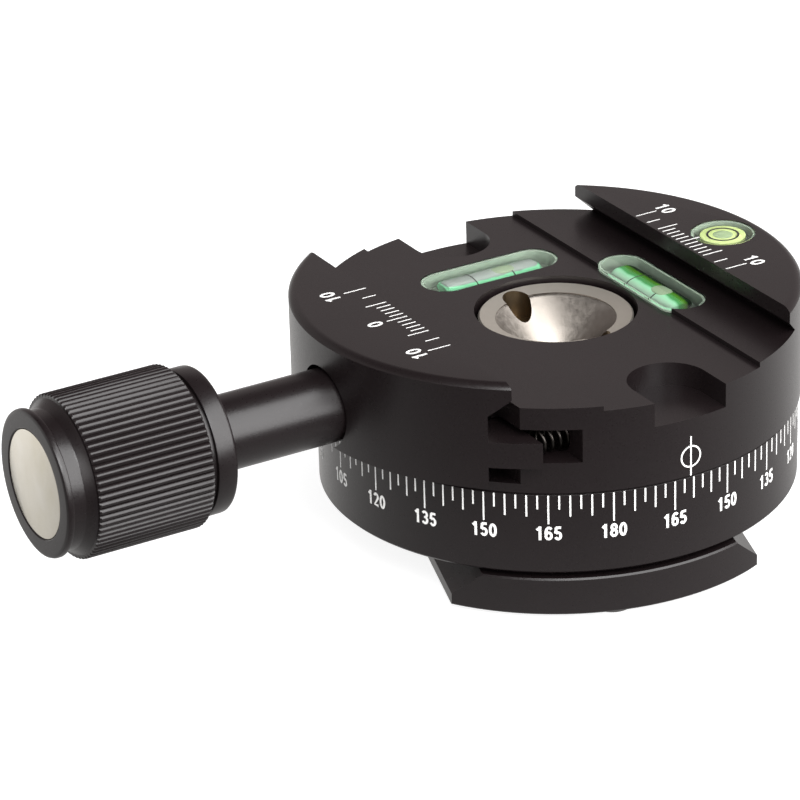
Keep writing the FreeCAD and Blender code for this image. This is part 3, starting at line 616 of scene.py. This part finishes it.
# Index on the clamp's rim: a line through a ring, laser-marked like the scale.
# It stands over the drum's scale and reads it.
index_angle = math.radians(-90.4)
ring_in = 1.22
ring_out = 1.42
ring_z = 18.75
bm = turn_profile([(ring_in, 0.0), (ring_out, 0.0), (ring_out, 0.02), (ring_in, 0.02)], 64)
for v in bm.verts:
    turn = v.co.x / body_r
    reach = body_r + v.co.z
    v.co = Vector((reach * math.sin(turn), v.co.y, reach * math.cos(turn) - body_r))
bmesh.ops.transform(bm, verts=bm.verts, matrix=on_wall(index_angle, body_r + 0.01, ring_z))
line_mark(bm, mark_wide, 5.1, on_wall(index_angle, body_r, 21.35))
piece("index_mark", bm, marking, "clamp")


# Millimetre marks of the fixed jaw: single lines to 5 each way, then 7.5 and 10, laser-marked like the scale.
# They are read from the channel, with a 10 at each end.
fine_wide = 0.16


def jaw_lines(bm, edge_x, shift, quarter):
    # The lines of one jaw, from its edge outwards.
    for mark in (-10, -7.5, -5, -4, -3, -2, -1, 0, 1, 2, 3, 4, 5, 7.5, 10):
        length = 3.05 if abs(mark) == 10 else 2.85 if abs(mark) in (5, 0) else 1.9
        place = Matrix.Translation((edge_x, mark + shift, top_z)) @ Matrix.Rotation(quarter, 4, "Z")
        line_mark(bm, fine_wide, length, place)


bm = bmesh.new()
jaw_lines(bm, 18.42, 0.2, math.pi / 2)
for y in (-9.5, 10.2):
    place = Matrix.Translation((23.8, y, top_z + 0.01)) @ Matrix.Rotation(-math.pi / 2, 4, "Z")
    figures(bm, "10", 2.0, 1.15, 0.36, place)
piece("fixed_jaw_marks", bm, marking, "clamp")


# Moving jaw: milled from the same round, with its nose, undercut and two guide ears, anodised black.
# It slides on the flange, held by two pins, and stands open as the photograph shows it.
jaw_open = 3.05
jaw_low = 17.45
jaw_undercut_z = 26.85
ear_in = 17
ear_reach = 5.15
ear_low = 20.25
ear_high = 23.5
sleeve_room = 5.1
stud_room = 3.2
pin_room = 1.55
pin_out = 10.5
side_shape = bar([(-outside, jaw_low), (-wall_x, jaw_low), (-wall_x, jaw_undercut_z), (-nose_x, nose_low),
                  (-nose_x, top_z), (-outside, top_z)], long_cut, -long_cut / 2)
stand_up(side_shape)
round_slab = turn_profile([(0, jaw_low), (body_r, jaw_low)] + round_edge + [(0, top_z)], 360)
jaw = carve(side_shape, [round_slab], "INTERSECT")
ears = []
for side in (-1, 1):
    near, far = sorted((side * ear_in, side * outside))
    ear = box_tool(-wall_x - 1, -wall_x + ear_reach, near, far, ear_low, ear_high)
    ears.append(carve(ear, [rod(body_r, 10, 35, (0, 0, 0), steps=360)], "INTERSECT"))
jaw = carve(jaw, ears, "UNION")
tools = [rod(sleeve_room, -40, -25.25, (0, 0, screw_z), "X", 128),
         rod(stud_room, -40, 0, (0, 0, screw_z), "X")]
for side in (-1, 1):
    tools.append(rod(pin_room, -wall_x - 6.35, 0, (0, side * pin_out, screw_z), "X", 64))
jaw = carve(jaw, tools)
bmesh.ops.translate(jaw, verts=jaw.verts, vec=(-jaw_open, 0, 0))
piece("jaw", jaw, anodised, "jaw", ["moving_jaw"], 0.12)

# Millimetre marks of the moving jaw: the same lines, laser-marked, with figures 10, 0 and 10.
# They ride on the jaw and run from its edge toward the knob.
bm = bmesh.new()
jaw_lines(bm, -21.18, -0.3, -math.pi / 2)
for mark, word, x in ((-10, "10", -26.75), (0, "0", -26.6), (10, "10", -27.1)):
    place = Matrix.Translation((x, mark - 0.3, top_z + 0.01)) @ Matrix.Rotation(math.pi / 2, 4, "Z")
    figures(bm, word, 2.0, 1.15, 0.36, place)
piece("moving_jaw_marks", bm, marking, "jaw")


# Clamp knob: turned aluminium with a straight knurl of 69 ridges, a smooth collar, a groove and a lip.
# It is screwed to the sleeve, which is the nut on the clamp stud, and everything is anodised black.
ridges = 69
per_ridge = 8
crest_r = 9.95
root_r = 9.5
collar = [(4.64, -50.0), (4.64, -49.25), (8.6, -49.25), (8.85, -49.32), (8.97, -49.5), (9.0, -49.75),
          (9.0, -51.65), (8.95, -51.8), (8.5, -51.85), (8.5, -52.75)]
knurl = [(9.5, -52.75), (9.75, -52.78), (crest_r, -52.95), (crest_r, -67.55), (9.75, -67.72),
         (9.5, -67.75)]
lip = [(9.4, -67.77), (8.52, -68.7), (8.46, -68.9), (8.46, -70.4), (8.75, -70.44), (8.9, -70.5),
       (8.95, -70.6), (8.95, -70.95), (8.85, -71.2), (8.6, -71.33), (8.4, -71.35), (6.78, -71.35),
       (6.66, -71.25), (6.64, -70.35), (5.4, -70.35)]
rows = [(r, x, False) for r, x in collar]
rows += [(r, x, True) for r, x in knurl]
rows += [(r, x, False) for r, x in lip]
bm = bmesh.new()
rings = []
for r, x, knurled in rows:
    verts = bmesh.ops.create_circle(bm, segments=ridges * per_ridge, radius=1.0)["verts"]
    for k, v in enumerate(verts):
        share = (k % per_ridge) / per_ridge
        dip = (2 * min(share, 1 - share)) ** 2.2
        here = min(r, crest_r - (crest_r - root_r) * dip) if knurled else r
        a = math.atan2(v.co.y, v.co.x)
        v.co = Vector((x, here * math.cos(a), here * math.sin(a)))
    rings.append(list({e for v in verts for e in v.link_edges}))
for one, two in zip(rings, rings[1:]):
    bmesh.ops.bridge_loops(bm, edges=one + two)
bmesh.ops.translate(bm, verts=bm.verts, vec=(0, 0, screw_z))
bmesh.ops.recalc_face_normals(bm, faces=bm.faces)
piece("knob", bm, anodised, "knob", ["knob_grip"], 0.0, 32.0)

# Sleeve between knob and jaw: a smooth turned tube, anodised black like the knob.
# It is the nut on the clamp stud, and the knob is fixed to its far end by a screw.
sleeve_r = 4.6
sleeve_bore = 3.04
sleeve_near = -29.1
sleeve_far = -64.65
sleeve = turn_profile([(sleeve_bore, -60.65), (sleeve_bore, sleeve_near), (sleeve_r - 0.2, sleeve_near),
                       (sleeve_r, sleeve_near - 0.2), (sleeve_r, sleeve_far + 0.3),
                       (sleeve_r - 0.3, sleeve_far), (sleeve_bore, sleeve_far)], 160, "X")
bmesh.ops.translate(sleeve, verts=sleeve.verts, vec=(0, 0, screw_z))
piece("sleeve", sleeve, anodised, "knob", ["knob_sleeve"])

# End disc: a bare silver plate let into the knob's face and held there by glue.
# Its face is uneven over about 5 mm, so its mirror image is soft and cloudy.
disc_r = 6.6
disc_face = -71.3
disc_back = -70.36
silver, tree, out = blank("bare_silver_disc")
where = add(tree, "ShaderNodeTexCoord")
cloud = add(tree, "ShaderNodeTexNoise", {"Scale": 190.0, "Detail": 3.0, "Roughness": 0.55},
            {"Vector": where.outputs["Object"]})
tint = add(tree, "ShaderNodeMix", {"data_type": "RGBA", 6: linear("#ddd6c2"), 7: linear("#f2efe8")},
           {0: cloud.outputs["Fac"]})
bump = add(tree, "ShaderNodeBump", {"Strength": 0.25, "Distance": 0.0003}, {"Height": cloud.outputs["Fac"]})
skin = add(tree, "ShaderNodeBsdfPrincipled", {"Metallic": 1.0, "Roughness": 0.24},
           {"Base Color": tint.outputs[2], "Normal": bump.outputs["Normal"]})
tree.links.new(skin.outputs[0], out.inputs["Surface"])
disc = turn_profile([(0, disc_face), (disc_r - 0.2, disc_face), (disc_r - 0.04, disc_face + 0.06),
                     (disc_r, disc_face + 0.18), (disc_r, disc_back), (0, disc_back)], 128, "X")
bmesh.ops.translate(disc, verts=disc.verts, vec=(0, 0, screw_z))
piece("end_disc", disc, silver, "knob", ["knob_end_disc"])


# Spirit levels: clear acrylic blocks with ground sides and floor, glued in their pockets, each with a
# closed bore of green spirit and a bubble. Two dark rings mark the middle of a tube level, and a circle
# marks the round one.

# Clear acrylic, polished on top: glassy, with a ripple of about 4 mm in its reflections.
# Shadow rays go straight through it, so light reaches the spirit.
acrylic, tree, out = blank("clear_acrylic")
where = add(tree, "ShaderNodeTexCoord")
wave = add(tree, "ShaderNodeTexNoise", {"Scale": 260.0, "Detail": 1.0}, {"Vector": where.outputs["Object"]})
bump = add(tree, "ShaderNodeBump", {"Strength": 0.05, "Distance": 0.0001}, {"Height": wave.outputs["Fac"]})
skin = add(tree, "ShaderNodeBsdfPrincipled", {"Base Color": linear("#f2faf2"), "Roughness": 0.03, "IOR": 1.40,
                                              "Transmission Weight": 1.0}, {"Normal": bump.outputs["Normal"]})
path = add(tree, "ShaderNodeLightPath")
through = add(tree, "ShaderNodeBsdfTransparent", {"Color": linear("#eef7ee")})
lets_light = add(tree, "ShaderNodeMixShader", (),
                 {0: path.outputs["Is Shadow Ray"], 1: skin.outputs[0], 2: through.outputs[0]})
tree.links.new(lets_light.outputs[0], out.inputs["Surface"])


def soft_stuff(name, low, high, scale, settings):
    # Ground acrylic, ink, dyed spirit, air or plastic: two close colours drifting into each other.
    material, tree, out = blank(name)
    where = add(tree, "ShaderNodeTexCoord")
    drift = add(tree, "ShaderNodeTexNoise", {"Scale": scale, "Detail": 3.0},
                {"Vector": where.outputs["Object"]})
    tint = add(tree, "ShaderNodeMix", {"data_type": "RGBA", 6: linear(low), 7: linear(high)},
               {0: drift.outputs["Fac"]})
    skin = add(tree, "ShaderNodeBsdfPrincipled", settings, {"Base Color": tint.outputs[2]})
    tree.links.new(skin.outputs[0], out.inputs["Surface"])
    return material, tree, skin


def shaded_spirit(name, axis, start, end, colours):
    # Dyed spirit in its bore, with light and shade painted across one axis: bright where light pools, grey or
    # dark on one side, where little light gets in.
    material, tree, skin = soft_stuff(name, "#ffffff", "#ffffff", 300.0, {"Roughness": 0.08, "IOR": 1.36})
    where = add(tree, "ShaderNodeTexCoord")
    parts = add(tree, "ShaderNodeSeparateXYZ", (), {0: where.outputs["Object"]})
    drift = add(tree, "ShaderNodeTexNoise", {"Scale": 500.0}, {"Vector": where.outputs["Object"]})
    sway = add(tree, "ShaderNodeMath", {"operation": "MULTIPLY_ADD", 1: 0.0006, 2: -0.0003},
               {0: drift.outputs["Fac"]})
    place = add(tree, "ShaderNodeMath", {"operation": "ADD"}, {0: parts.outputs[axis], 1: sway.outputs[0]})
    share = add(tree, "ShaderNodeMapRange", {"From Min": start, "From Max": end}, {"Value": place.outputs[0]})
    ramp = add(tree, "ShaderNodeValToRGB", (), {0: share.outputs[0]})
    stops = ramp.color_ramp.elements
    while len(stops) < len(colours):
        stops.new(0.5)
    for stop, (spot, code) in zip(stops, colours):
        stop.position = spot
        stop.color = linear(code)
    tree.links.new(ramp.outputs[0], skin.inputs["Base Color"])
    return material


# Ground acrylic is frosted grey-green, and the ink is matt black. The spirits are glossy and wet.
# The air bubble is a pale flat lens that catches the lamps.
ground, tree, skin = soft_stuff("ground_acrylic", "#7f8b81", "#a3aca1", 700.0, {"Roughness": 0.5})
ink, tree, skin = soft_stuff("black_ink_line", "#0c0d0c", "#1b1d1b", 3000.0, {"Roughness": 0.5})
# Pale green spirit: painted light pools green in the lower half, and the grey top is a painted reflection.
cross_spirit_painted_light = shaded_spirit("pale_green_spirit_painted_light", 2, 0.02340, 0.02590,
                           [(0.0, "#8edab0"), (0.78, "#84d2a6"), (0.87, "#868c8c"), (1.0, "#8d9090")])
# Deep green spirit: pale on one side as painted light, and dark on the side toward the fixed jaw as painted
# shade.
along_spirit_painted_light_and_shade = shaded_spirit("deep_green_spirit_painted_light_and_shade", 0, 0.01165, 0.01535,
                           [(0.0, "#b7cfc0"), (0.28, "#8fc9a6"), (0.38, "#2f8548"), (0.62, "#44701a"),
                            (0.76, "#0a1c0f")])
lime, tree, skin = soft_stuff("lime_spirit", "#b6c278", "#d3dca0", 260.0, {"Roughness": 0.08, "IOR": 1.36})
bubble_skin, tree, skin = soft_stuff("air_bubble", "#b4c4a6", "#cbd8be", 260.0,
                                     {"Roughness": 0.04, "IOR": 1.2, "Transmission Weight": 0.6})

level_long = 19.0
level_wide = 6.2
level_deep = 5.0
bore_r = 1.9
bore_half = 6.9
line_out = 2.7
for name, centre, top, sideways, spirit, drift in (
        ("cross", cross_at, middle_z - 0.05, False, cross_spirit_painted_light, 1.9),
        ("along", along_at, floor_z - 0.05, True, along_spirit_painted_light_and_shade, -2.4)):
    spin_level = Matrix.Rotation(math.pi / 2 if sideways else 0.0, 4, "Z")
    vial_z = top - 0.6 - bore_r
    level_place = Matrix.Translation(centre) @ spin_level
    bore_place = level_place @ Matrix.Translation((0, 0, vial_z))
    shell = long_round(level_long, level_wide, top - level_deep, top, centre, sideways)
    piece(name + "_level_block", shell, acrylic, "clamp", [name + "_level"], 0.15)
    sides = carve(long_round(level_long - 0.1, level_wide - 0.1, top - 4.95, top - 0.35, centre, sideways),
                  [long_round(level_long - 0.7, level_wide - 0.7, top - 4.75, top + 1, centre, sideways)])
    piece(name + "_level_ground_sides", sides, ground, "clamp")
    fill = turn_profile([(0, -bore_half), (1.3, -bore_half), (1.75, -6.5), (1.86, -6.0), (1.86, 6.0),
                         (1.75, 6.5), (1.3, bore_half), (0, bore_half)], 64, "X")
    bmesh.ops.transform(fill, verts=fill.verts, matrix=bore_place)
    piece(name + "_level_fill", fill, spirit, "clamp", [name + "_level_liquid"])
    lines = bmesh.new()
    for x in (-line_out, line_out):
        hoop = turn_profile([(1.87, x - 0.09), (1.92, x - 0.09), (1.92, x + 0.09), (1.87, x + 0.09)], 64, "X")
        bmesh.ops.transform(hoop, verts=hoop.verts, matrix=bore_place)
        part = bpy.data.meshes.new("hoop")
        hoop.to_mesh(part)
        hoop.free()
        lines.from_mesh(part)
        bpy.data.meshes.remove(part)
    piece(name + "_level_lines", lines, ink, "clamp")
    air = bmesh.new()
    bmesh.ops.create_uvsphere(air, u_segments=32, v_segments=16, radius=1.0)
    bmesh.ops.scale(air, verts=air.verts, vec=(2.1, 1.15, 0.6))
    bmesh.ops.transform(air, verts=air.verts, matrix=bore_place @ Matrix.Translation((drift, 0, 1.42)))
    piece(name + "_level_bubble", air, bubble_skin, "clamp")

round_top = top_z - 0.05
cup_r = 4.0
pool_top = round_top - 0.62
circle_in = 1.80
circle_out = 2.06
cup = turn_profile([(0, round_top - 4.0), (cup_r, round_top - 4.0), (cup_r, round_top - 0.12),
                    (cup_r - 0.12, round_top), (0, round_top)], 96)
bmesh.ops.translate(cup, verts=cup.verts, vec=round_at)
piece("round_level_body", cup, acrylic, "clamp", ["round_level"])
wall_ring = turn_profile([(0, round_top - 3.95), (3.95, round_top - 3.95), (3.95, round_top - 0.3),
                          (3.7, round_top - 0.3), (3.7, round_top - 3.7), (0, round_top - 3.7)], 96)
bmesh.ops.translate(wall_ring, verts=wall_ring.verts, vec=round_at)
piece("round_level_ground_sides", wall_ring, ground, "clamp")
pool = turn_profile([(0, round_top - 2.3), (2.7, round_top - 2.3), (2.86, round_top - 2.1),
                     (2.86, round_top - 0.75), (2.6, pool_top), (0, pool_top)], 96)
bmesh.ops.translate(pool, verts=pool.verts, vec=round_at)
piece("round_level_fill", pool, lime, "clamp", ["round_level_liquid"])
hoop = turn_profile([(circle_in, round_top - 0.6), (circle_out, round_top - 0.6),
                     (circle_out, round_top - 0.50), (circle_in, round_top - 0.50)], 96)
bmesh.ops.translate(hoop, verts=hoop.verts, vec=round_at)
piece("round_level_circle", hoop, ink, "clamp")
air = bmesh.new()
bmesh.ops.create_uvsphere(air, u_segments=32, v_segments=16, radius=1.0)
bmesh.ops.scale(air, verts=air.verts, vec=(1.5, 1.5, 0.3))
bmesh.ops.translate(air, verts=air.verts, vec=(round_at[0], round_at[1], round_top - 0.78))
piece("round_level_bubble", air, bubble_skin, "clamp")


# Small parts that keep their CAD shape, each in its finish. The pan lock's knob is black like the drum. Its
# screw and the screws under the plate are blackened, and the springs take the same dark steel, which is
# painted shade deep in their slots. Pins, stud and insert are bright.
# The shoe and the washers are brass, and the glide ring and the levels' backings are white acetal.
brass = plain_metal("turned_brass", "#b08d4c", "#cdb06f", 0.3, 500.0)
steel = plain_metal("bright_steel", "#b4b0aa", "#d2cec8", 0.28, 600.0)
# Dark steel: black oxide on the screws, and painted shade on the springs in their slots.
dark_steel_oxide_and_shade = plain_metal("black_oxide_steel_and_painted_shade", "#3a3734", "#575350", 0.34, 800.0)
acetal, tree, skin = soft_stuff("white_acetal", "#dfe6d8", "#f1f4ea", 900.0, {"Roughness": 0.55})
for names, material in ((("lock_shoe", "thrust_washer", "jaw_washer"), brass),
                        (("glide_ring", "level_backings"), acetal),
                        (("lock_knob",), anodised),
                        (("plate_screws", "stop_screws", "lock_screw", "return_springs"), dark_steel_oxide_and_shade),
                        (("thread_insert", "clamp_stud", "guide_pins", "knob_fixing_screw"), steel)):
    for name in names:
        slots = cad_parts[name].data.materials
        for i in range(max(1, len(slots))):
            if i < len(slots):
                slots[i] = material
            else:
                slots.append(material)
